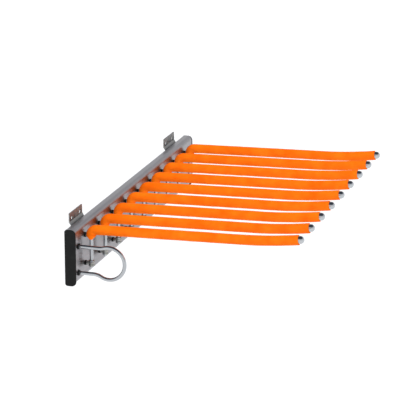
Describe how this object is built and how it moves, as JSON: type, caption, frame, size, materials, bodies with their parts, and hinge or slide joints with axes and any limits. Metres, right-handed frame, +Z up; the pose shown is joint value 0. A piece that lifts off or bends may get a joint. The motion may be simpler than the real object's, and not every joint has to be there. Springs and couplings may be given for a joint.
{
  "type": "boot drying rack",
  "caption": "Wall rail of brushed metal with foam-covered arms that swivel on upright legs, domed metal tips, a wire loop at one end, black end caps and plate brackets.",
  "frame": {"origin": "on the wall plane, at the middle of the line of the four wall screw holes, which is midway between the brackets", "axes": "+X along the rail away from the end with the wire loop, +Y into the wall (the arms point along -Y into the room), +Z up"},
  "size_m": [1, 0.6376, 0.18],
  "materials": {
    "rail_metal": "brushed, lengthwise grain",
    "cap_plastic": "fine moulded texture",
    "bracket_steel": "galvanised, matt",
    "zinc_fasteners": "zinc plated",
    "eye_steel": "zinc plated",
    "collar_steel": "turned, bright",
    "black_rubber": "matt rubber",
    "chrome_bar": "bright chrome",
    "chrome_dome": "bright chrome",
    "orange_foam": "matt closed-cell foam with a fine skin"
  },
  "bodies": {
    "rack": {"rail_channel": "rail_metal", "end_cap_left": "cap_plastic", "end_cap_right": "cap_plastic", "wall_bracket_left": "bracket_steel", "wall_bracket_right": "bracket_steel", "bracket_screws": "zinc_fasteners", "bracket_nuts": "zinc_fasteners", "wall_buffers": "black_rubber", "hanging_loop": "chrome_bar", "loop_grommets": "black_rubber", "loop_nuts": "zinc_fasteners", "eye_spacers": "black_rubber", "eye_nuts": "zinc_fasteners", "hinge_eyes_1": "eye_steel", "hinge_eyes_2": "eye_steel", "hinge_eyes_3": "eye_steel", "hinge_eyes_4": "eye_steel", "hinge_eyes_5": "eye_steel", "hinge_eyes_6": "eye_steel", "hinge_eyes_7": "eye_steel", "hinge_eyes_8": "eye_steel", "hinge_eyes_9": "eye_steel"},
    "arm_1": {"arm_bar_1": "chrome_bar", "leg_collars_1": "collar_steel", "foam_sleeve_1": "orange_foam", "end_dome_1": "chrome_dome"},
    "arm_2": {"arm_bar_2": "chrome_bar", "leg_collars_2": "collar_steel", "foam_sleeve_2": "orange_foam", "end_dome_2": "chrome_dome"},
    "arm_3": {"arm_bar_3": "chrome_bar", "leg_collars_3": "collar_steel", "foam_sleeve_3": "orange_foam", "end_dome_3": "chrome_dome"},
    "arm_4": {"arm_bar_4": "chrome_bar", "leg_collars_4": "collar_steel", "foam_sleeve_4": "orange_foam", "end_dome_4": "chrome_dome"},
    "arm_5": {"arm_bar_5": "chrome_bar", "leg_collars_5": "collar_steel", "foam_sleeve_5": "orange_foam", "end_dome_5": "chrome_dome"},
    "arm_6": {"arm_bar_6": "chrome_bar", "leg_collars_6": "collar_steel", "foam_sleeve_6": "orange_foam", "end_dome_6": "chrome_dome"},
    "arm_7": {"arm_bar_7": "chrome_bar", "leg_collars_7": "collar_steel", "foam_sleeve_7": "orange_foam", "end_dome_7": "chrome_dome"},
    "arm_8": {"arm_bar_8": "chrome_bar", "leg_collars_8": "collar_steel", "foam_sleeve_8": "orange_foam", "end_dome_8": "chrome_dome"},
    "arm_9": {"arm_bar_9": "chrome_bar", "leg_collars_9": "collar_steel", "foam_sleeve_9": "orange_foam", "end_dome_9": "chrome_dome"}
  },
  "joints": [
    {"name": "arm_1_swivel", "type": "hinge", "parent": "rack", "child": "arm_1", "pos_m": [-0.424, -0.057, -0.119], "axis": [0, 0, 1], "range_deg": [-7, 7]},
    {"name": "arm_2_swivel", "type": "hinge", "parent": "rack", "child": "arm_2", "pos_m": [-0.318, -0.057, -0.119], "axis": [0, 0, 1], "range_deg": [-7, 7]},
    {"name": "arm_3_swivel", "type": "hinge", "parent": "rack", "child": "arm_3", "pos_m": [-0.212, -0.057, -0.119], "axis": [0, 0, 1], "range_deg": [-7, 7]},
    {"name": "arm_4_swivel", "type": "hinge", "parent": "rack", "child": "arm_4", "pos_m": [-0.106, -0.057, -0.119], "axis": [0, 0, 1], "range_deg": [-7, 7]},
    {"name": "arm_5_swivel", "type": "hinge", "parent": "rack", "child": "arm_5", "pos_m": [0, -0.057, -0.119], "axis": [0, 0, 1], "range_deg": [-7, 7]},
    {"name": "arm_6_swivel", "type": "hinge", "parent": "rack", "child": "arm_6", "pos_m": [0.106, -0.057, -0.119], "axis": [0, 0, 1], "range_deg": [-7, 7]},
    {"name": "arm_7_swivel", "type": "hinge", "parent": "rack", "child": "arm_7", "pos_m": [0.212, -0.057, -0.119], "axis": [0, 0, 1], "range_deg": [-7, 7]},
    {"name": "arm_8_swivel", "type": "hinge", "parent": "rack", "child": "arm_8", "pos_m": [0.318, -0.057, -0.119], "axis": [0, 0, 1], "range_deg": [-7, 7]},
    {"name": "arm_9_swivel", "type": "hinge", "parent": "rack", "child": "arm_9", "pos_m": [0.424, -0.057, -0.119], "axis": [0, 0, 1], "range_deg": [-7, 7]}
  ]
}
